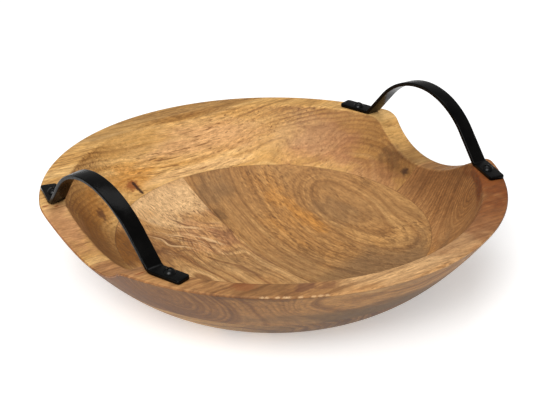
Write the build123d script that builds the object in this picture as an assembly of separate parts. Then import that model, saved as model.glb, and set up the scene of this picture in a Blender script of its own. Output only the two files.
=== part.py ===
from build123d import *
import math
import os

# Round serving bowl turned from a glued-up blank: two layers of solid boards, the upper
# layer's grain along X and the lower layer's along Y. Two arched straps of flat bar stand
# on the rim over scooped hand gaps, each held by two domed wood screws.
# Millimetres. The origin is at the centre of the base, +Z up, handles at -X and +X.

# Bowl
RIM_RADIUS = 176.0
RIM_WIDTH = 19.3
BOWL_HEIGHT = 76.0
BASE_RADIUS = 72.0
FLOOR_THICKNESS = 13.0
SEAM_HEIGHT = 36.0
INNER_RADIUS_AT_SEAM = 122.5
WALL_BULGE = 3.0
INNER_KNUCKLE_RADIUS = 60.0
OUTER_EDGE_EASE = 1.2
INNER_EDGE_EASE = 3.0

# Glue joints between the boards of each layer
UPPER_JOINT_Y = -1.0
LOWER_JOINT_X = -7.0

# Hand scoops
SCOOP_DEPTH = 22.0
SCOOP_RADIUS = 84.0
SCOOP_SHOULDER_RADIUS = 26.0

# Handle straps
STRAP_WIDTH = 12.7
STRAP_THICKNESS = 3.0
ARCH_HEIGHT = 45.5
LEG_CORNER_Y = 65.3
LEG_ANGLE = 51.5
BEND_RADIUS = 5.0
FOOT_LENGTH = 30.0
FOOT_TURN = 16.5
FOOT_CORNER_RADIUS = 2.5

# The straps are bent and placed by hand, so each has its own distance from the middle,
# outward lean, turn in plan, offset along Y and lengths of its back and front feet
RIGHT_CENTRE_X = 147.8
RIGHT_LEAN = 2.0
RIGHT_TURN = 0.4
RIGHT_OFFSET_Y = 0.0
RIGHT_FEET = (FOOT_LENGTH, FOOT_LENGTH)
LEFT_CENTRE_X = 146.8
LEFT_LEAN = 7.0
LEFT_TURN = 2.4
LEFT_OFFSET_Y = -3.7
LEFT_FEET = (28.0, 26.5)

# Screws
SCREW_SHARE_OF_FOOT = 0.48
SCREW_HEAD_RADIUS = 4.4
SCREW_HEAD_HEIGHT = 3.0
SCREW_SHANK_RADIUS = 1.8
SCREW_LENGTH_IN_WOOD = 14.0
SCREW_TIP_LENGTH = 3.0
SLOT_WIDTH = 1.0
SLOT_LENGTH = 4.6
SLOT_DEPTH = 1.4
SLOT_TURN = 20.0


def turned_profile():
    """Half section of the bowl in the XZ plane: the outside is one parabola from the flat
    base to the rim, the inside a steep wall arc that runs into a shallow dished floor."""
    rim_inner = RIM_RADIUS - RIM_WIDTH
    wall_run = rim_inner - INNER_RADIUS_AT_SEAM
    wall_drop = BOWL_HEIGHT - SEAM_HEIGHT
    chord = math.hypot(wall_run, wall_drop)
    wall_middle = (
        (rim_inner + INNER_RADIUS_AT_SEAM) / 2 + WALL_BULGE * wall_drop / chord,
        (BOWL_HEIGHT + SEAM_HEIGHT) / 2 - WALL_BULGE * wall_run / chord,
    )
    dish = SEAM_HEIGHT - FLOOR_THICKNESS
    dish_radius = (INNER_RADIUS_AT_SEAM**2 + dish**2) / (2 * dish)
    half_angle = math.asin(INNER_RADIUS_AT_SEAM / dish_radius) / 2
    dish_middle = (
        dish_radius * math.sin(half_angle),
        FLOOR_THICKNESS + dish_radius * (1 - math.cos(half_angle)),
    )
    base_edge = (BASE_RADIUS, 0)
    rim_outer_point = (RIM_RADIUS, BOWL_HEIGHT)
    rim_inner_point = (rim_inner, BOWL_HEIGHT)
    knuckle = (INNER_RADIUS_AT_SEAM, SEAM_HEIGHT)
    with BuildSketch(Plane.XZ) as section:
        with BuildLine():
            Line((0, 0), base_edge)
            Bezier(base_edge, ((BASE_RADIUS + RIM_RADIUS) / 2, 0), rim_outer_point)
            Line(rim_outer_point, rim_inner_point)
            ThreePointArc(rim_inner_point, wall_middle, knuckle)
            ThreePointArc(knuckle, dish_middle, (0, FLOOR_THICKNESS))
            Line((0, FLOOR_THICKNESS), (0, 0))
        make_face()
        corner = section.vertices().sort_by_distance((knuckle[0], 0, knuckle[1]))[0]
        fillet(corner, INNER_KNUCKLE_RADIUS)
    return section.sketch


def scoop_half_width():
    """Distance from the XZ plane at which the scoop's shoulder runs out into the rim."""
    centre_height = SCOOP_RADIUS - SCOOP_DEPTH
    reach = SCOOP_RADIUS + SCOOP_SHOULDER_RADIUS
    return math.sqrt(reach**2 - (centre_height + SCOOP_SHOULDER_RADIUS) ** 2)


def scoop_cutter(side):
    """Everything above one hand scoop: a hollow arc with rounded shoulders, along X."""
    half = scoop_half_width()
    share = SCOOP_RADIUS / (SCOOP_RADIUS + SCOOP_SHOULDER_RADIUS)
    blend_y = half * share
    blend_z = SCOOP_RADIUS - SCOOP_DEPTH - math.sqrt(SCOOP_RADIUS**2 - blend_y**2)
    turn = math.asin(blend_y / SCOOP_RADIUS) / 2
    middle_y = half - SCOOP_SHOULDER_RADIUS * math.sin(turn)
    middle_z = -SCOOP_SHOULDER_RADIUS * (1 - math.cos(turn))
    with BuildSketch(Plane.YZ) as section:
        with BuildLine():
            ThreePointArc((half, 0), (middle_y, middle_z), (blend_y, blend_z))
            ThreePointArc((blend_y, blend_z), (0, -SCOOP_DEPTH), (-blend_y, blend_z))
            ThreePointArc((-blend_y, blend_z), (-middle_y, middle_z), (-half, 0))
            Polyline((-half, 0), (-half, SCOOP_DEPTH), (half, SCOOP_DEPTH), (half, 0))
        make_face()
    cutter = extrude(section.sketch, RIM_RADIUS)
    if side < 0:
        cutter = mirror(cutter, Plane.YZ)
    return Pos(0, 0, BOWL_HEIGHT) * cutter


def top_edges(body, outer):
    """The outer or the inner edge of the rim, with the scoops' edges on that side."""
    lowest = BOWL_HEIGHT - SCOOP_DEPTH - 1
    between = RIM_RADIUS - RIM_WIDTH + 1
    edges = ShapeList()
    for edge in body.edges():
        ends = [edge @ 0, edge @ 0.5, edge @ 1]
        if min(point.Z for point in ends) < lowest:
            continue
        reach = max(math.hypot(point.X, point.Y) for point in ends)
        if reach < INNER_RADIUS_AT_SEAM or (reach > between) != outer:
            continue
        across = abs(ends[0].Y - ends[2].Y) < 0.01 and abs(ends[0].X - ends[2].X) < 2 * RIM_WIDTH
        if not across:
            edges.append(edge)
    return edges


def turned_bowl():
    """The whole wooden body before it is divided into its boards."""
    body = revolve(turned_profile(), Axis.Z)
    body = body - scoop_cutter(1) - scoop_cutter(-1)
    body = fillet(top_edges(body, outer=False), INNER_EDGE_EASE)
    return fillet(top_edges(body, outer=True), OUTER_EDGE_EASE)


def block(low, high):
    """A box between two corners."""
    size = [b - a for a, b in zip(low, high)]
    middle = [(a + b) / 2 for a, b in zip(low, high)]
    return Pos(*middle) * Box(*size)


def board(body, low, high):
    """The part of the body inside a box: one board of the blank."""
    return body & block(low, high)


def boards(body):
    """Four boards: two along X in the upper layer, two along Y in the lower layer."""
    reach = RIM_RADIUS + 10
    top = BOWL_HEIGHT + 10
    seam = SEAM_HEIGHT
    return {
        "upper_board_back": board(body, (-reach, UPPER_JOINT_Y, seam), (reach, reach, top)),
        "upper_board_front": board(body, (-reach, -reach, seam), (reach, UPPER_JOINT_Y, top)),
        "lower_board_left": board(body, (-reach, -reach, -1), (LOWER_JOINT_X, reach, seam)),
        "lower_board_right": board(body, (LOWER_JOINT_X, -reach, -1), (reach, reach, seam)),
    }


def arch_outline():
    """Side view of the strap in the YZ plane, standing on height 0: one round arch, two
    straight legs and the bends that turn each leg flat onto the rim."""
    half = STRAP_THICKNESS / 2
    lean = math.radians(LEG_ANGLE)
    sine = math.sin(lean)
    cosine = math.cos(lean)
    arch_radius = (LEG_CORNER_Y * sine - (ARCH_HEIGHT - half) * cosine) / (1 - cosine)
    arch_centre = ARCH_HEIGHT - arch_radius
    bend_y = LEG_CORNER_Y + BEND_RADIUS * math.tan(lean / 2)
    bend_z = half + BEND_RADIUS

    def edge_points(offset):
        arch = arch_radius + offset
        bend = BEND_RADIUS - offset
        arch_end = (arch * sine, arch_centre + arch * cosine)
        bend_start = (bend_y - bend * sine, bend_z - bend * cosine)
        bend_middle = (bend_y - bend * math.sin(lean / 2), bend_z - bend * math.cos(lean / 2))
        bend_end = (bend_y, bend_z - bend)
        return (0, arch_centre + arch), arch_end, bend_start, bend_middle, bend_end

    def mirrored(point):
        return (-point[0], point[1])

    with BuildSketch(Plane.YZ) as section:
        with BuildLine():
            for offset in (half, -half):
                top, arch_end, bend_start, bend_middle, bend_end = edge_points(offset)
                ThreePointArc(arch_end, top, mirrored(arch_end))
                Line(arch_end, bend_start)
                ThreePointArc(bend_start, bend_middle, bend_end)
                Line(mirrored(arch_end), mirrored(bend_start))
                ThreePointArc(mirrored(bend_start), mirrored(bend_middle), mirrored(bend_end))
            Line((bend_y, 0), (bend_y, STRAP_THICKNESS))
            Line((-bend_y, 0), (-bend_y, STRAP_THICKNESS))
        make_face()
    return section.sketch, bend_y


def foot(start_y, length):
    """One flat foot at +Y of a strap centred on X = 0, turned in plan to follow the rim."""
    half = STRAP_WIDTH / 2
    turn = math.radians(FOOT_TURN)
    end_x = -length * math.sin(turn)
    end_y = LEG_CORNER_Y + length * math.cos(turn)
    side_x = half * math.cos(turn)
    side_y = half * math.sin(turn)
    root = start_y - BEND_RADIUS / 2
    corners = [
        (-half, root),
        (half, root),
        (half, start_y),
        (end_x + side_x, end_y + side_y),
        (end_x - side_x, end_y - side_y),
        (-half, start_y),
    ]
    with BuildSketch() as plan:
        with BuildLine():
            Polyline(*corners, close=True)
        make_face()
        ends = [vertex for vertex in plan.vertices() if vertex.Y > end_y - half]
        fillet(ends, FOOT_CORNER_RADIUS)
    return extrude(plan.sketch, STRAP_THICKNESS)


def handle(side, lean, back_foot, front_foot):
    """A strap at its own origin, at the middle of its two bends on the rim. side is 1 for
    the +X strap, whose feet turn towards -X, and -1 for its mirror image."""
    outline, bend_y = arch_outline()
    arch = extrude(outline, STRAP_WIDTH / 2, both=True)
    arch = Rot(0, lean, 0) * arch
    reach = 2 * ARCH_HEIGHT
    arch = arch & block((-reach, -reach, 0), (reach, reach, reach))
    back = foot(bend_y, back_foot)
    front = mirror(foot(bend_y, front_foot), Plane.XZ)
    strap = arch + back + front
    if side < 0:
        strap = mirror(strap, Plane.YZ)
    return strap


def strap_place(side, centre_x, turn, offset_y):
    """Stands a strap on the rim."""
    return Pos(side * centre_x, offset_y, BOWL_HEIGHT) * Rot(0, 0, turn)


def screw_place(side, end, foot_length):
    """Where a screw stands in its strap's own frame: on the foot's centre line."""
    along = SCREW_SHARE_OF_FOOT * foot_length
    turn = math.radians(FOOT_TURN)
    x = -along * math.sin(turn)
    y = LEG_CORNER_Y + along * math.cos(turn)
    return Pos(side * x, end * y, 0) * Rot(0, 0, SLOT_TURN * side * end)


def screw_shape():
    """A domed wood screw at the origin: the shank runs down, the head stands on the strap."""
    dome_radius = (SCREW_HEAD_RADIUS**2 + SCREW_HEAD_HEIGHT**2) / (2 * SCREW_HEAD_HEIGHT)
    half_angle = math.asin(SCREW_HEAD_RADIUS / dome_radius) / 2
    top = STRAP_THICKNESS + SCREW_HEAD_HEIGHT
    dome_middle = (dome_radius * math.sin(half_angle), top - dome_radius * (1 - math.cos(half_angle)))
    shank_end = -SCREW_LENGTH_IN_WOOD + SCREW_TIP_LENGTH
    with BuildSketch(Plane.XZ) as section:
        with BuildLine():
            Polyline(
                (0, top),
                (0, -SCREW_LENGTH_IN_WOOD),
                (SCREW_SHANK_RADIUS, shank_end),
                (SCREW_SHANK_RADIUS, STRAP_THICKNESS),
                (SCREW_HEAD_RADIUS, STRAP_THICKNESS),
            )
            ThreePointArc((SCREW_HEAD_RADIUS, STRAP_THICKNESS), dome_middle, (0, top))
        make_face()
    solid = revolve(section.sketch, Axis.Z)
    for turn in (0, 90):
        slot = Box(SLOT_LENGTH, SLOT_WIDTH, 2 * SLOT_DEPTH)
        solid = solid - Pos(0, 0, top) * Rot(0, 0, turn) * slot
    return solid


def main():
    parts = boards(turned_bowl())
    right = (1, RIGHT_CENTRE_X, RIGHT_LEAN, RIGHT_TURN, RIGHT_OFFSET_Y, RIGHT_FEET)
    left = (-1, LEFT_CENTRE_X, LEFT_LEAN, LEFT_TURN, LEFT_OFFSET_Y, LEFT_FEET)
    shape = screw_shape()
    for side_name, setting in {"right": right, "left": left}.items():
        side, centre_x, lean, turn, offset_y, feet = setting
        place = strap_place(side, centre_x, turn, offset_y)
        strap = place * handle(side, lean, *feet)
        for end_name, end, foot_length in (("back", 1, feet[0]), ("front", -1, feet[1])):
            screw = place * screw_place(side, end, foot_length) * shape
            parts["upper_board_" + end_name] -= screw
            strap -= screw
            parts["screw_" + side_name + "_" + end_name] = screw
        parts["handle_" + side_name] = strap
    os.makedirs("parts", exist_ok=True)
    for name, solid in parts.items():
        export_step(solid, "parts/" + name + ".step")
        print(name, round(solid.volume), "mm3")


main()
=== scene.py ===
import math

import bmesh
import bpy
from mathutils import Matrix, Vector, noise


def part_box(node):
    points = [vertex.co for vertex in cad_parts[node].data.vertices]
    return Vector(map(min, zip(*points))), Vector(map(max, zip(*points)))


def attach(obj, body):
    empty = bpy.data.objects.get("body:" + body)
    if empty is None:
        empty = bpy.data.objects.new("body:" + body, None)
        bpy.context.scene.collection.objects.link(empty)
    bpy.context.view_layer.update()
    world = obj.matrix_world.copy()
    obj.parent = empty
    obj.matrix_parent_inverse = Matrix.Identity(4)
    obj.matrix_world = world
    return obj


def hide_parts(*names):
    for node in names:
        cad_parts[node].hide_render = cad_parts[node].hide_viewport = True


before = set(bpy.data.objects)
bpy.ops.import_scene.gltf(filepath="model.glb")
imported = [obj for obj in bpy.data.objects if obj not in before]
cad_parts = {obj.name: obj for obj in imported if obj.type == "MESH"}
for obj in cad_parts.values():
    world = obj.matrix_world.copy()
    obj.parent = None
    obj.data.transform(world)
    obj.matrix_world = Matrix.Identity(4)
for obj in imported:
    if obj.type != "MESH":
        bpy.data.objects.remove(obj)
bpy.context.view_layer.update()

# Looks of a turned wooden bowl with two forged iron straps. Lengths are in millimetres and
# become metres through MM; the wood's own textures work in millimetres of the bowl's frame.
MM = 0.001

# Places read from the frame
SEAM_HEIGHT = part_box("lower_board_left")[1].z / MM
UPPER_JOINT_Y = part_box("upper_board_back")[0].y / MM
LOWER_JOINT_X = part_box("lower_board_left")[1].x / MM
RIM_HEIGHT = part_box("upper_board_back")[1].z / MM
EDGE_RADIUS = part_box("upper_board_back")[1].y / MM

# Camera
CAMERA_AZIMUTH = -35.0
CAMERA_ELEVATION = 25.94
CAMERA_DISTANCE = 1043.5
CAMERA_TARGET = Vector((-3.6, -7.1, 59.7))
CAMERA_LENS = 90.63

# Light
WORLD_COLOUR = (1.0, 0.99, 0.97, 1)
WORLD_STRENGTH = 0.3
KEY_POWER = 34
TOP_POWER = 12

# Straps. Each leans out by its own angle and has its own lengths of back and front foot, and
# a seed for its unevenness.
STRAP_WIDTH = 12.7
STRAP_THICKNESS = 3.0
STRAP_EDGE = 0.75
ARCH_HEIGHT = 45.5
LEG_CORNER_Y = 65.3
LEG_ANGLE = math.radians(51.5)
BEND_RADIUS = 5.0
FOOT_TURN = math.radians(16.5)
FOOT_CORNER_RADIUS = 2.5
SCREW_SHARE_OF_FOOT = 0.48
STRAPS = {
    "right": {"side": 1, "lean": math.radians(2.0), "back": 30.0, "front": 30.0, "seed": 3.7},
    "left": {"side": -1, "lean": math.radians(7.0), "back": 28.0, "front": 26.5, "seed": -3.7},
}


def tone(red, green, blue):
    """A colour given as it looks on a screen, 0 to 255, as the shader needs it."""

    def linear(value):
        value /= 255
        return value / 12.92 if value <= 0.04045 else ((value + 0.055) / 1.055) ** 2.4

    return (linear(red), linear(green), linear(blue), 1.0)


class Graph:
    """A material's node tree. Each call adds one node and returns what it gives."""

    def __init__(self, name):
        self.material = bpy.data.materials.new(name)
        self.material.use_nodes = True
        self.tree = self.material.node_tree
        self.tree.nodes.clear()

    def node(self, kind, inputs, **settings):
        made = self.tree.nodes.new(kind)
        for key, value in settings.items():
            setattr(made, key, value)
        for key, value in inputs.items():
            if isinstance(value, bpy.types.NodeSocket):
                self.tree.links.new(value, made.inputs[key])
            else:
                made.inputs[key].default_value = value
        return made

    def place(self):
        """The point on the object, in millimetres of the bowl's frame."""
        where = self.node("ShaderNodeTexCoord", {})
        return self.vector("SCALE", where.outputs["Object"], scale=1 / MM)

    def facing(self):
        return self.node("ShaderNodeTexCoord", {}).outputs["Normal"]

    def math(self, operation, first, second=0.0):
        return self.node("ShaderNodeMath", {0: first, 1: second}, operation=operation).outputs[0]

    def times(self, *values):
        product = values[0]
        for value in values[1:]:
            product = self.math("MULTIPLY", product, value)
        return product

    def vector(self, operation, first, second=(0, 0, 0), scale=1.0):
        inputs = {0: first, 1: second, 3: scale}
        made = self.node("ShaderNodeVectorMath", inputs, operation=operation)
        return made.outputs["Value" if operation in ("LENGTH", "DOT_PRODUCT") else "Vector"]

    def split(self, vector):
        return self.node("ShaderNodeSeparateXYZ", {0: vector}).outputs

    def merge(self, x, y, z):
        return self.node("ShaderNodeCombineXYZ", {0: x, 1: y, 2: z}).outputs[0]

    def stretch(self, vector, sizes):
        """Divides by the length of the pattern along each axis."""
        return self.vector("MULTIPLY", vector, tuple(1 / size for size in sizes))

    def noise(self, vector, detail=2.0, roughness=0.5, colour=False):
        """Noise with features of size 1, as a value or as a colour."""
        inputs = {"Vector": vector, "Scale": 1.0, "Detail": detail, "Roughness": roughness}
        return self.node("ShaderNodeTexNoise", inputs).outputs[1 if colour else 0]

    def spread(self, value, low, high, to_low=0.0, to_high=1.0):
        """A smooth step of value between low and high."""
        inputs = {"Value": value, "From Min": low, "From Max": high}
        inputs.update({"To Min": to_low, "To Max": to_high})
        return self.node("ShaderNodeMapRange", inputs, interpolation_type="SMOOTHSTEP").outputs[0]

    def mix(self, factor, first, second, blend="MIX"):
        inputs = {0: factor, 6: first, 7: second}
        settings = {"data_type": "RGBA", "blend_type": blend, "clamp_factor": True}
        return self.node("ShaderNodeMix", inputs, **settings).outputs[2]

    def tint(self, factor, colour, shade):
        return self.mix(factor, colour, shade, "MULTIPLY")

    def ramp(self, value, stops):
        made = self.node("ShaderNodeValToRGB", {0: value})
        elements = made.color_ramp.elements
        while len(elements) < len(stops):
            elements.new(0.5)
        for element, (position, colour) in zip(elements, stops):
            element.position = position
            element.color = colour
        return made.outputs[0]

    def bump(self, height, distance, strength=1.0, under=None):
        """Relief of this depth in millimetres, over another relief where one is given."""
        inputs = {"Strength": strength, "Distance": distance * MM, "Height": height}
        if under is not None:
            inputs["Normal"] = under
        return self.node("ShaderNodeBump", inputs).outputs[0]

    def finish(self, colour, roughness, normal, **settings):
        inputs = {"Base Color": colour, "Roughness": roughness, "Normal": normal}
        inputs.update(settings)
        shader = self.node("ShaderNodeBsdfPrincipled", inputs)
        self.node("ShaderNodeOutputMaterial", {0: shader.outputs[0]})
        return self.material


# The wood's four tones, from the palest to the darkest streak
HONEY = (tone(240, 198, 134), tone(226, 178, 108), tone(208, 156, 86), tone(128, 82, 42))
TAN = (tone(208, 160, 104), tone(188, 138, 86), tone(164, 114, 68), tone(108, 70, 40))
PALE = (tone(232, 186, 128), tone(206, 158, 100), tone(166, 118, 72), tone(108, 70, 44))
BROWN = (tone(204, 158, 100), tone(184, 137, 83), tone(160, 114, 66), tone(106, 70, 38))

# Colours of stained patches, knots, darker end grain and painted shade
AMBER = tone(214, 146, 60)
ROSE = tone(214, 156, 114)
CREAM = tone(240, 200, 148)
TAWNY = tone(188, 134, 94)
GREY = tone(118, 92, 66)
UMBER = tone(114, 72, 32)
RUSSET = tone(138, 88, 32)
SIENNA = tone(126, 62, 12)
RUST = tone(140, 70, 30)
BARK = tone(104, 62, 42)
DARK = tone(60, 34, 20)
END_GRAIN_TINT = (0.62, 0.54, 0.46, 1)
# Painted shade: faces that point down, such as the outer wall, are darkened by this tint.
UNDERSIDE_PAINTED_SHADE = (0.56, 0.54, 0.44, 1)


def edge_chips(degrees):
    """Pale specks where the rim's sharp outer edge is rubbed, at these angles round it."""
    below_rim = 0.6
    chips = []
    for angle in degrees:
        x = EDGE_RADIUS * math.cos(math.radians(angle))
        y = EDGE_RADIUS * math.sin(math.radians(angle))
        chips.append(((x, y, RIM_HEIGHT - below_rim), (2.6, 1.8, 1.0), CREAM, 0.36, 0.8))
    return chips


def crack(start, end, count):
    """A dark slit between two points: small beads in a row."""
    beads = []
    for step in range(count):
        centre = Vector(start).lerp(Vector(end), step / (count - 1))
        beads.append((tuple(centre), (2.6, 2.6, 2.2), DARK, 0.95, 0.5))
    return beads


# What each board's wood is like:
#   grain     the axis that the grain follows
#   pith      the middle of the tree's rings across it: the other level axis, then height
#   ring      width of a ring
#   sway      how far the rings wander
#   tones     the four tones above
#   figure    strength of the broad streaks, and showing, their strength through the stains
#   lines     strength of the ring lines
#   dashes    strength of the short dark dashes, and threads, of the long thin ones
#   clouds    strength of the amber and grey clouds
#   swells    places that push the rings aside: centre, radii, rise
#   stains_and_painted_shade  soft ellipsoids under the fine grain, stained patches and
#   painted shade: centre, radii, colour, strength, raggedness
#   feathers  patches of crossing figure: centre, radii, direction in degrees
#   knots     marks of the same form, but over the grain
BOARDS = {
    "upper_board_back": {
        "grain": "X",
        "pith": (62.0, -20.0),
        "ring": 3.4,
        "sway": 5.0,
        "tones": HONEY,
        "figure": 0.6,
        "showing": 0.15,
        "lines": 0.2,
        "dashes": 0.5,
        "clouds": 0.16,
        "threads": 0.75,
        "swells": (((96, 88, 44), (56, 26, 26), 12.0), ((-54, 118, 42), (26, 12, 10), -7.0)),
        "stains_and_painted_shade": (
            # Darkens the top of the back rim.
            ((10, 168, 76), (130, 40, 6), UMBER, 0.45, 0.8),
            ((20, 140, 56), (80, 60, 16), CREAM, 0.4, 0.8),
            ((10, 121, 39), (90, 14, 5), CREAM, 0.5, 0.6),
            # Partly painted shade: darkens the lower left inner wall, which is partly darker wood
            # and partly in shade, away from the light.
            ((-120, 30, 48), (40, 80, 24), RUSSET, 0.75, 0.6),
            ((-58, 124, 46), (40, 22, 14), AMBER, 0.55, 0.6),
            ((-120, 84, 52), (50, 50, 18), AMBER, 0.35, 0.8),
            ((138, 30, 53), (14, 22, 12), GREY, 0.5, 0.9),
            ((134, 8, 47), (26, 34, 10), UMBER, 0.45, 0.8),
            ((122, 30, 38), (22, 50, 12), TAWNY, 0.6, 0.7),
            ((30, 135, 56), (70, 40, 16), ROSE, 0.35, 0.8),
            ((-158, 36, 66), (34, 56, 20), TAWNY, 0.75, 0.8),
            ((112, 84, 52), (56, 34, 24), ROSE, 0.7, 0.7),
            ((104, 96, 58), (50, 40, 20), CREAM, 0.4, 0.7),
            ((150, 10, 56), (26, 40, 8), UMBER, 0.5, 0.6),
            ((-108, 88, 48), (24, 24, 13), AMBER, 0.4, 0.8),
            ((-103, 83.5, 44.5), (7, 10, 5.5), BARK, 0.8, 0.8),
        ),
        "knots": (
            ((-56.5, 118.6, 43.2), (9, 9, 6), RUST, 0.8, 0.8),
            *crack((-54.2, 119.6, 43.8), (-50.8, 112.2, 37.8), 6),
            ((-159, 61.5, 76), (4, 1.2, 3), RUST, 0.9, 0.6),
            ((-152, 58.5, 76), (3, 1.2, 3), RUST, 0.9, 0.6),
            ((134, 6, 47.5), (6, 5.5, 4), DARK, 0.85, 0.6),
        ),
    },
    "upper_board_front": {
        "grain": "X",
        "pith": (-84.0, 66.0),
        "ring": 3.0,
        "sway": 4.0,
        "tones": TAN,
        "figure": 0.5,
        "showing": 0.5,
        "lines": 0.2,
        "dashes": 0.35,
        "clouds": 0.3,
        "threads": 0.4,
        "swells": (((-60, -150, 60), (50, 24, 20), 8.0),),
        "stains_and_painted_shade": (
            ((50, -150, 76), (60, 40, 8), CREAM, 0.5, 0.8),
            ((138, -98, 76), (46, 52, 12), SIENNA, 0.9, 0.8),
            ((150, -30, 62), (30, 60, 18), UMBER, 0.25, 0.6),
            ((-100, -128, 76), (60, 50, 8), UMBER, 0.6, 0.8),
            ((-160, -30, 66), (34, 60, 20), TAWNY, 0.6, 0.8),
            ((88, -136, 76), (56, 42, 12), SIENNA, 0.72, 0.9),
            ((42, -158, 76), (44, 20, 10), SIENNA, 0.35, 0.9),
            ((-12, -158, 76), (56, 30, 8), CREAM, 0.4, 0.8),
            # Partly painted shade: darkens the lower left inner wall, which is partly darker wood
            # and partly in shade, away from the light.
            ((-120, -30, 48), (40, 80, 24), RUSSET, 0.6, 0.6),
            # Painted shade: darkens the lower part of the front walls, inside and out, where they
            # face away from the light.
            ((10, -140, 40), (140, 60, 22), GREY, 0.9, 0.6),
        ),
        "knots": (
            ((-108, -121, 76), (12, 8, 6), RUST, 0.45, 0.9),
            ((-76, -144, 76), (15, 8, 6), BARK, 0.7, 0.9),
            ((-63, -151, 76), (10, 6, 6), BARK, 0.55, 0.9),
            ((-154, -66.5, 76), (6, 1.1, 3), RUST, 0.9, 0.5),
            *edge_chips((-127.4, -126.4, -124.2, -122.6, -121.8, -119.2, -116.4, -115.0, -113.6)),
        ),
    },
    "lower_board_left": {
        "grain": "Y",
        "pith": (-96.0, -34.0),
        "ring": 4.0,
        "sway": 13.0,
        "tones": PALE,
        "figure": 1.0,
        "showing": 0.1,
        "lines": 0.4,
        "dashes": 0.5,
        "clouds": 0.25,
        "threads": 0.6,
        "swells": (((-34, 44, 18), (30, 46, 30), 14.0), ((-70, -40, 20), (40, 60, 30), -7.0)),
        "stains_and_painted_shade": (
            ((-40, 104, 28), (54, 44, 26), CREAM, 0.85, 0.5),
            ((-30, 50, 18), (34, 40, 20), ROSE, 0.3, 0.9),
            # Painted shadow: darkens the front of the bowl's floor, where the front wall shades
            # it.
            ((-20, -95, 26), (100, 60, 30), GREY, 0.75, 0.6),
            ((-22, -2, 14), (50, 36, 12), GREY, 0.3, 0.8),
            # Partly painted shade: darkens the lower left inner wall, which is partly darker wood
            # and partly in shade, away from the light.
            ((-108, 46, 33), (36, 60, 24), RUSSET, 0.95, 0.8),
        ),
        "feathers": (((-44, 58, 20), (46, 40, 26), -42.0),),
        "knots": (),
    },
    "lower_board_right": {
        "grain": "Y",
        "pith": (90.0, -14.0),
        "ring": 3.0,
        "sway": 5.0,
        "tones": BROWN,
        "figure": 0.6,
        "showing": 0.15,
        "lines": 0.35,
        "dashes": 0.75,
        "clouds": 0.3,
        "threads": 0.5,
        "swells": (((92, 30, 24), (40, 60, 30), -8.0),),
        "stains_and_painted_shade": (
            ((53, 30, 19), (9, 34, 12), AMBER, 0.5, 0.8),
            ((50, 66, 23), (14, 18, 14), AMBER, 0.35, 0.8),
            ((4, 96, 28), (26, 34, 14), GREY, 0.45, 0.8),
            ((76, 20, 22), (16, 40, 16), GREY, 0.35, 0.8),
            # Painted shadow: darkens the front of the bowl's floor, where the front wall shades
            # it.
            ((30, -84, 24), (90, 60, 30), GREY, 0.65, 0.7),
            ((8, -20, 14), (40, 36, 12), GREY, 0.25, 0.8),
        ),
        "knots": (((-3, 72, 21), (7, 12, 6), DARK, 0.5, 0.9),),
    },
}


def grain_space(graph, place, grain):
    """Turns the place so that its first axis runs along the grain."""
    x, y, z = graph.split(place)
    return graph.merge(x, y, z) if grain == "X" else graph.merge(y, x, z)


def inside(graph, place, centre, radii, ragged=0.0):
    """1 in the middle of an ellipsoid, fading to 0 at its edge, which noise makes uneven."""
    solid_part = 0.35
    offset = graph.stretch(graph.vector("SUBTRACT", place, centre), radii)
    reach = graph.vector("LENGTH", offset)
    if ragged:
        grit_sizes = [radius * 0.5 for radius in radii]
        grit = graph.noise(graph.stretch(place, grit_sizes), 3.0)
        uneven = graph.times(graph.math("SUBTRACT", grit, 0.5), 2 * ragged)
        reach = graph.math("ADD", reach, uneven)
    return graph.spread(reach, 1.0, solid_part)


def wander(graph, along, sizes, detail, reach):
    """A shift that changes slowly from place to place."""
    drift = graph.noise(graph.stretch(along, sizes), detail, colour=True)
    drift = graph.vector("SUBTRACT", drift, (0.5, 0.5, 0.5))
    return graph.vector("SCALE", drift, scale=reach)


def ring_distance(graph, place, along, board):
    """The place bent as the grain wanders, and how far it is from the middle of the tree."""
    slow_reach = 2.6 * board["sway"]
    quick_reach = 0.36 * board["sway"]
    bent = graph.vector("ADD", along, wander(graph, along, (150, 46, 46), 1.0, slow_reach))
    bent = graph.vector("ADD", bent, wander(graph, along, (34, 11, 11), 2.0, quick_reach))
    from_pith = graph.vector("SUBTRACT", bent, (0, *board["pith"]))
    distance = graph.vector("LENGTH", graph.vector("MULTIPLY", from_pith, (0, 1, 1)))
    for centre, radii, rise in board["swells"]:
        swell = graph.times(inside(graph, place, centre, radii), rise)
        distance = graph.math("ADD", distance, swell)
    return bent, distance


def marked(graph, place, colour, marks):
    """Lays marks over a colour: stained patches and patches of painted shade, or knots."""
    for centre, radii, shade, amount, ragged in marks:
        mark = graph.times(inside(graph, place, centre, radii, ragged), amount)
        colour = graph.mix(mark, colour, shade)
    return colour


def feathered(graph, place, colour, feather, dark):
    """A patch of crossing figure: thin dark and pale strokes at an angle to the grain."""
    centre, radii, degrees = feather
    stroke_length = 30.0
    stroke_width = 2.6
    curl = 26.0
    turn = math.radians(degrees)
    bend = graph.noise(graph.stretch(place, (curl, curl, curl)), 1.0)
    bend = graph.times(graph.math("SUBTRACT", bend, 0.5), curl)
    length = graph.vector("DOT_PRODUCT", place, (math.cos(turn), math.sin(turn), 0))
    width = graph.vector("DOT_PRODUCT", place, (-math.sin(turn), math.cos(turn), 0))
    width = graph.math("ADD", width, bend)
    length = graph.math("DIVIDE", length, stroke_length)
    width = graph.math("DIVIDE", width, stroke_width)
    patch = inside(graph, place, centre, radii, 0.6)
    for layer, shade, amount in ((0.0, dark, 0.75), (40.0, CREAM, 0.7)):
        stroke = graph.noise(graph.merge(length, width, layer), 2.0, 0.5)
        stroke = graph.spread(stroke, 0.52, 0.66)
        colour = graph.mix(graph.times(stroke, patch, amount), colour, shade)
    return colour


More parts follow.
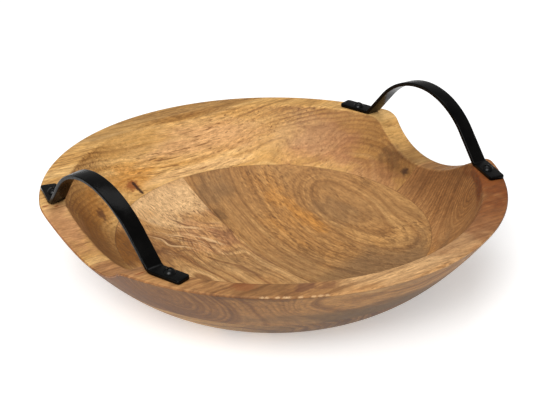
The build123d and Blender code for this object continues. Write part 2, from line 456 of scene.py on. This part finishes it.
def broad_figure(graph, along, distance, board):
    """Streaks that follow the rings. Returns the colour and the streaks themselves."""
    palest, pale, deep, darkest = board["tones"]
    streak_length = 200.0
    streak_width = 1.6 * board["ring"]
    streak_place = graph.merge(
        graph.math("DIVIDE", graph.split(along)[0], streak_length),
        graph.math("DIVIDE", distance, streak_width),
        0.0,
    )
    streak = graph.spread(graph.noise(streak_place, 4.0, 0.62), 0.24, 0.78)
    tones = graph.ramp(streak, [(0.1, palest), (0.45, pale), (0.75, deep), (1.0, darkest)])
    return graph.mix(board["figure"], pale, tones), streak


def ring_lines(graph, distance, board, patchy):
    """A dark line at each ring, with a soft near side and a crisp far side."""
    ring = graph.math("FRACT", graph.math("DIVIDE", distance, board["ring"]))
    return graph.times(graph.spread(ring, 0.3, 0.9), graph.spread(ring, 1.0, 0.9), patchy)


def fine_grain(graph, bent, colour, patchy):
    """Mottle and fibres that lighten and darken the colour. Returns the fibres too."""
    mottle = graph.noise(graph.stretch(bent, (9, 3.6, 3.6)), 4.0, 0.75)
    shade = graph.ramp(mottle, [(0.3, (0.72, 0.69, 0.65, 1)), (0.7, (1.2, 1.2, 1.18, 1))])
    colour = graph.tint(1.0, colour, shade)
    fibre = graph.noise(graph.stretch(bent, (9, 1.4, 1.4)), 4.0, 0.8)
    shade = graph.ramp(fibre, [(0.3, (0.5, 0.45, 0.4, 1)), (0.7, (1.4, 1.4, 1.38, 1))])
    fibrous = graph.tint(1.0, colour, shade)
    return graph.mix(graph.times(patchy, 0.9), colour, fibrous), fibre


def glue_lines(graph, place, board, patchy):
    """The thin glue joint beside the board and the one between the two layers."""
    x, y, z = graph.split(place)
    if board["grain"] == "X":
        beside = graph.math("SUBTRACT", y, UPPER_JOINT_Y)
    else:
        beside = graph.math("SUBTRACT", x, LOWER_JOINT_X)
    joint = graph.spread(graph.math("ABSOLUTE", beside), 0.4, 0.1)
    between = graph.math("ABSOLUTE", graph.math("SUBTRACT", z, SEAM_HEIGHT))
    seam = graph.spread(between, 0.3, 0.05)
    return graph.times(graph.math("MAXIMUM", joint, seam), patchy)


def wood(name, board):
    """One board's material: streaks that follow the rings, ring lines, fibres, pores, darker
    end grain, painted shade on faces that point down, marks (some of them painted shade), and the
    thin glue line where the board meets its neighbours."""
    graph = Graph(name)
    darkest = board["tones"][3]
    place = graph.place()
    along = grain_space(graph, place, board["grain"])
    bent, distance = ring_distance(graph, place, along, board)
    patches = graph.noise(graph.stretch(along, (90, 36, 36)), 2.0)
    patchy = graph.spread(patches, 0.38, 0.62, 0.4, 1.0)

    colour, streak = broad_figure(graph, along, distance, board)
    line = ring_lines(graph, distance, board, patchy)
    colour = graph.mix(graph.times(line, board["lines"]), colour, darkest)
    cloud = graph.noise(graph.stretch(along, (100, 36, 36)), 3.0, 0.6)
    colour = graph.mix(graph.spread(cloud, 0.52, 0.78, 0.0, board["clouds"]), colour, AMBER)
    colour = graph.mix(graph.spread(cloud, 0.48, 0.24, 0.0, board["clouds"]), colour, GREY)
    colour = marked(graph, place, colour, board["stains_and_painted_shade"])
    pale_streak = (1.14, 1.14, 1.12, 1)
    dark_streak = (0.72, 0.68, 0.62, 1)
    through = graph.ramp(streak, [(0.15, pale_streak), (0.5, (1, 1, 1, 1)), (0.85, dark_streak)])
    colour = graph.tint(board["showing"], colour, through)

    colour, fibre = fine_grain(graph, bent, colour, patchy)
    for feather in board.get("feathers", ()):
        colour = feathered(graph, place, colour, feather, darkest)
    where_dashed = graph.spread(graph.noise(graph.stretch(along, (50, 20, 20)), 1.0), 0.42, 0.62)
    dash = graph.spread(graph.noise(graph.stretch(bent, (11, 1.5, 1.5)), 2.0, 0.5), 0.56, 0.68)
    dash = graph.times(dash, where_dashed)
    thread = graph.spread(graph.noise(graph.stretch(bent, (60, 1.6, 1.6)), 1.0, 0.5), 0.63, 0.7)
    thread = graph.times(thread, graph.spread(cloud, 0.45, 0.55))
    pore = graph.spread(graph.noise(graph.stretch(along, (5.0, 0.7, 0.7)), 1.0, 0.5), 0.6, 0.72)
    colour = graph.mix(graph.times(thread, board["threads"]), colour, darkest)
    colour = graph.mix(graph.times(dash, board["dashes"]), colour, darkest)
    colour = graph.mix(graph.times(pore, 0.3), colour, darkest)

    axis = (1, 0, 0) if board["grain"] == "X" else (0, 1, 0)
    end = graph.math("ABSOLUTE", graph.vector("DOT_PRODUCT", graph.facing(), axis))
    end = graph.spread(end, 0.3, 0.72)
    colour = graph.tint(end, colour, END_GRAIN_TINT)
    colour = graph.mix(graph.times(line, end, 0.7), colour, darkest)
    # Painted shade: faces that point downward are darkened as if they were in shade.
    painted_shade_below = graph.spread(graph.split(graph.facing())[2], 0.0, -0.35)
    colour = graph.tint(painted_shade_below, colour, UNDERSIDE_PAINTED_SHADE)
    colour = marked(graph, place, colour, board["knots"])
    glue = glue_lines(graph, place, board, patchy)
    colour = graph.mix(graph.times(glue, 0.4), colour, DARK)

    rough = graph.spread(fibre, 0.2, 0.8, 0.52, 0.66)
    height = graph.math("SUBTRACT", graph.times(fibre, 0.5), graph.math("MAXIMUM", pore, dash))
    height = graph.math("SUBTRACT", height, glue)
    relief = graph.bump(height, 0.12, 0.5)
    return graph.finish(colour, rough, relief, **{"Specular IOR Level": 0.3})


def iron(name):
    """Satin black over forged bar, faintly blotched and pitted."""
    graph = Graph(name)
    place = graph.place()
    cloud = graph.noise(graph.stretch(place, (14, 14, 14)), 4.0, 0.6)
    grit = graph.noise(graph.stretch(place, (1.1, 1.1, 1.1)), 3.0, 0.6)
    colour = graph.ramp(cloud, [(0.3, tone(3, 3, 3)), (0.75, tone(10, 9, 8))])
    rough = graph.spread(cloud, 0.3, 0.7, 0.16, 0.32)
    relief = graph.bump(grit, 0.1, 0.5, graph.bump(cloud, 0.6, 0.5))
    return graph.finish(colour, rough, relief, **{"Specular IOR Level": 0.08})


def screw_metal(name):
    """Glossy black screws."""
    graph = Graph(name)
    place = graph.place()
    cloud = graph.noise(graph.stretch(place, (2.5, 2.5, 2.5)), 3.0, 0.6)
    colour = graph.ramp(cloud, [(0.3, tone(3, 3, 3)), (0.75, tone(9, 9, 9))])
    rough = graph.spread(cloud, 0.25, 0.8, 0.26, 0.4)
    relief = graph.bump(cloud, 0.05, 0.4)
    return graph.finish(colour, rough, relief, **{"Specular IOR Level": 0.22})


def link(name, data):
    """Puts an object with this data in the scene."""
    made = bpy.data.objects.new(name, data)
    bpy.context.collection.objects.link(made)
    return made


def give(piece, material):
    """Puts one material in every slot of a piece."""
    if not piece.material_slots:
        piece.data.materials.append(material)
    for slot in piece.material_slots:
        slot.material = material


def strap_half(lean):
    """Half of the strap's middle line in its own frame, from the top of the arch to the end
    of the bend at the foot: (point, share of the turn from leg to flat foot) for each
    section. Also gives the distance along Y at which the bend ends."""
    arch_steps = 24
    leg_steps = 5
    bend_steps = 12
    half = STRAP_THICKNESS / 2
    sine = math.sin(LEG_ANGLE)
    cosine = math.cos(LEG_ANGLE)
    arch_radius = (LEG_CORNER_Y * sine - (ARCH_HEIGHT - half) * cosine) / (1 - cosine)
    centre_z = ARCH_HEIGHT - half - arch_radius
    bend_y = LEG_CORNER_Y + BEND_RADIUS * math.tan(LEG_ANGLE / 2)

    def bend_point(angle, share):
        y = bend_y - BEND_RADIUS * math.sin(angle)
        z = half + BEND_RADIUS * (1 - math.cos(angle))
        return Matrix.Rotation(lean * share, 3, "Y") @ Vector((0, y, z))

    sections = []
    for step in range(arch_steps + 1):
        angle = LEG_ANGLE * step / arch_steps
        y = arch_radius * math.sin(angle)
        z = centre_z + arch_radius * math.cos(angle)
        sections.append((Matrix.Rotation(lean, 3, "Y") @ Vector((0, y, z)), 0.0))
    arch_end = sections[-1][0]
    bend_start = bend_point(LEG_ANGLE, 1)
    for step in range(1, leg_steps):
        sections.append((arch_end.lerp(bend_start, step / leg_steps), 0.0))
    for step in range(bend_steps + 1):
        share = step / bend_steps
        sections.append((bend_point(LEG_ANGLE * (1 - share), 1 - share), share))
    return sections, bend_y


def foot_stops(length):
    """Distances along a flat foot, close together round the corners of its end."""
    flat_steps = 10
    corner_steps = 8
    stops = [length * step / flat_steps for step in range(1, flat_steps)]
    for step in range(corner_steps + 1):
        turned = math.sin(math.pi / 2 * step / corner_steps)
        stops.append(length - FOOT_CORNER_RADIUS * (1 - turned))
    return sorted(stop for stop in stops if stop > 0)


def strap_stations(lean, back, front):
    """The strap's sections from the front foot's end to the back one's: (point, share of the
    turn from leg to foot, distance left to the foot's end)."""
    far_from_end = FOOT_CORNER_RADIUS * 2
    half_line, bend_y = strap_half(lean)
    halves = []
    for end, foot_length in ((1, back), (-1, front)):
        line = []
        for point, share in half_line:
            line.append((Vector((point.x, end * point.y, point.z)), share, far_from_end))
        start = line[-1][0]
        flat = foot_length - (bend_y - LEG_CORNER_Y) / math.cos(FOOT_TURN)
        way = Vector((-math.sin(FOOT_TURN), end * math.cos(FOOT_TURN), 0))
        for stop in foot_stops(flat):
            line.append((start + way * stop, 1.0, flat - stop))
        halves.append(line)
    back_half, front_half = halves
    return list(reversed(front_half[1:])) + back_half


def rounding(radius, left):
    """How far a corner of this radius has drawn in, at a distance from the end."""
    if left >= radius:
        return 0.0
    return radius - math.sqrt(radius**2 - (radius - left) ** 2)


def section_axes(direction, lean, share):
    """The directions of the strap's width and of its upper face. The width axis leans with
    the arch and lies level on the foot."""
    leaning = Matrix.Rotation(lean * (1 - share), 3, "Y") @ Vector((1, 0, 0))
    level = Vector((0, 0, 1)).cross(direction)
    if level.length > 0:
        level.normalize()
    if level.x < 0:
        level.negate()
    width_axis = leaning.lerp(level, share).normalized()
    width_axis = (width_axis - direction * width_axis.dot(direction)).normalized()
    upward = direction.cross(width_axis)
    if upward.z < 0:
        upward.negate()
    return width_axis, upward


def strap_mesh(name, lean, back, front, seed):
    """A strap with rounded edges, swept through its sections, with a smith's small
    unevenness in width, thickness and surface."""
    edge_steps = 4
    width_unevenness = 0.1
    dent_depth = 0.06
    dent_size = 5
    middle = STRAP_WIDTH / 2 - STRAP_EDGE
    flat = STRAP_THICKNESS / 2 - STRAP_EDGE
    stations = strap_stations(lean, back, front)
    points = [station[0] for station in stations]

    mesh = bmesh.new()
    loops = []
    for index, (point, share, left) in enumerate(stations):
        before = points[max(index - 1, 0)]
        after = points[min(index + 1, len(points) - 1)]
        direction = (after - before).normalized()
        width_axis, upward = section_axes(direction, lean, share)
        sway = noise.noise(Vector((index * 0.11, seed, 0.0)))
        narrower = rounding(FOOT_CORNER_RADIUS, left) + width_unevenness * (1 - sway)
        half_width = middle - narrower
        half_flat = max(flat - rounding(STRAP_EDGE, left), 0.02)
        loop = []
        for side_x, side_z, first in ((1, 1, 0), (-1, 1, 90), (-1, -1, 180), (1, -1, 270)):
            for step in range(edge_steps + 1):
                angle = math.radians(first + 90 * step / edge_steps)
                offset = width_axis * (side_x * half_width + STRAP_EDGE * math.cos(angle))
                offset += upward * (side_z * half_flat + STRAP_EDGE * math.sin(angle))
                place = point + offset
                dent = noise.noise(place / dent_size + Vector((seed, 0, 0)))
                place -= offset.normalized() * dent_depth * (1 + dent)
                loop.append(mesh.verts.new(place * MM))
        loops.append(loop)
    around = len(loops[0])
    for first, second in zip(loops, loops[1:]):
        for corner in range(around):
            following = (corner + 1) % around
            mesh.faces.new((first[corner], first[following], second[following], second[corner]))
    mesh.faces.new(list(reversed(loops[0])))
    mesh.faces.new(loops[-1])
    bmesh.ops.recalc_face_normals(mesh, faces=mesh.faces)
    data = bpy.data.meshes.new(name)
    mesh.to_mesh(data)
    mesh.free()
    for polygon in data.polygons:
        polygon.use_smooth = True
    return link(name, data)


def screw_place(side_name, end_name):
    """Where a screw stands, seen from above, in millimetres."""
    low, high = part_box("screw_" + side_name + "_" + end_name)
    return ((low + high) / 2).to_2d() / MM


def strap_seat(side_name, side, back, front):
    """Where a strap stands: its two screws fix its turn and place."""
    holes = []
    for end, foot_length in ((1, back), (-1, front)):
        along = SCREW_SHARE_OF_FOOT * foot_length
        x = -side * along * math.sin(FOOT_TURN)
        y = end * (LEG_CORNER_Y + along * math.cos(FOOT_TURN))
        holes.append(Vector((x, y)))
    back_screw = screw_place(side_name, "back")
    chord = back_screw - screw_place(side_name, "front")
    own = holes[0] - holes[1]
    turn = math.atan2(chord.y, chord.x) - math.atan2(own.y, own.x)
    shift = (back_screw - Matrix.Rotation(turn, 2) @ holes[0]) * MM
    stand = Matrix.Translation((shift.x, shift.y, RIM_HEIGHT * MM))
    return stand @ Matrix.Rotation(turn, 4, "Z")


def add_straps(material):
    for side_name, strap in STRAPS.items():
        side = strap["side"]
        feet = (strap["back"], strap["front"])
        piece = strap_mesh("strap_" + side_name, strap["lean"], *feet, strap["seed"])
        if side < 0:
            piece.data.transform(Matrix.Scale(-1, 4, (1, 0, 0)))
            piece.data.flip_normals()
        piece.data.transform(strap_seat(side_name, side, *feet))
        give(piece, material)
        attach(piece, "root")
        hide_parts("handle_" + side_name)


def add_floor():
    """A plain pale floor that glows a little, so that it stays white."""
    half_size = 6.0
    glow = {"Emission Color": (1, 1, 1, 1), "Emission Strength": 0.4, "Specular IOR Level": 0.1}
    corners = [(-1, -1), (1, -1), (1, 1), (-1, 1)]
    data = bpy.data.meshes.new("floor")
    data.from_pydata([(x * half_size, y * half_size, 0) for x, y in corners], [], [(0, 1, 2, 3)])
    floor = link("floor", data)
    graph = Graph("pale_floor")
    cloud = graph.noise(graph.stretch(graph.place(), (700, 700, 700)))
    colour = graph.ramp(cloud, [(0.3, tone(243, 243, 243)), (0.7, tone(247, 247, 247))])
    grit = graph.noise(graph.stretch(graph.place(), (3, 3, 3)))
    give(floor, graph.finish(colour, 0.8, graph.bump(grit, 0.02, 0.2), **glow))


def add_light(name, place, target, size, power):
    data = bpy.data.lights.new(name, "AREA")
    data.shape = "RECTANGLE"
    data.size, data.size_y = size
    data.energy = power
    light = link(name, data)
    light.location = Vector(place)
    light.rotation_euler = (Vector(target) - Vector(place)).to_track_quat("-Z", "Y").to_euler()


def add_studio():
    """A soft world, a key light at the front left and a weaker one above."""
    scene = bpy.context.scene
    world = bpy.data.worlds.new("studio")
    world.use_nodes = True
    background = world.node_tree.nodes["Background"]
    background.inputs["Color"].default_value = WORLD_COLOUR
    background.inputs["Strength"].default_value = WORLD_STRENGTH
    scene.world = world
    add_light("key_box", (-1.2, -1.0, 1.4), (0, 0, 0), (1.1, 0.9), KEY_POWER)
    add_light("top_box", (0.3, 0.4, 2.0), (0, 0, 0.05), (1.6, 1.0), TOP_POWER)
    scene.view_settings.view_transform = "Standard"
    scene.view_settings.look = "None"
    scene.view_settings.exposure = 0
    scene.view_settings.gamma = 1


def add_camera():
    azimuth = math.radians(CAMERA_AZIMUTH)
    elevation = math.radians(CAMERA_ELEVATION)
    level = math.cos(elevation)
    away_x = math.sin(azimuth) * level
    away_y = -math.cos(azimuth) * level
    away = Vector((away_x, away_y, math.sin(elevation)))
    data = bpy.data.cameras.new("camera")
    data.lens = CAMERA_LENS
    data.sensor_width = 36
    data.clip_end = 50
    camera = link("camera", data)
    camera.location = (CAMERA_TARGET + away * CAMERA_DISTANCE) * MM
    camera.rotation_euler = (-away).to_track_quat("-Z", "Y").to_euler()
    bpy.context.scene.camera = camera


def main():
    add_camera()
    add_studio()
    add_floor()
    for name, board in BOARDS.items():
        give(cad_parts[name], wood("wood_" + name, board))
    add_straps(iron("forged_iron"))
    black = screw_metal("black_screw")
    for side_name in STRAPS:
        for end_name in ("back", "front"):
            give(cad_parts["screw_" + side_name + "_" + end_name], black)


main()
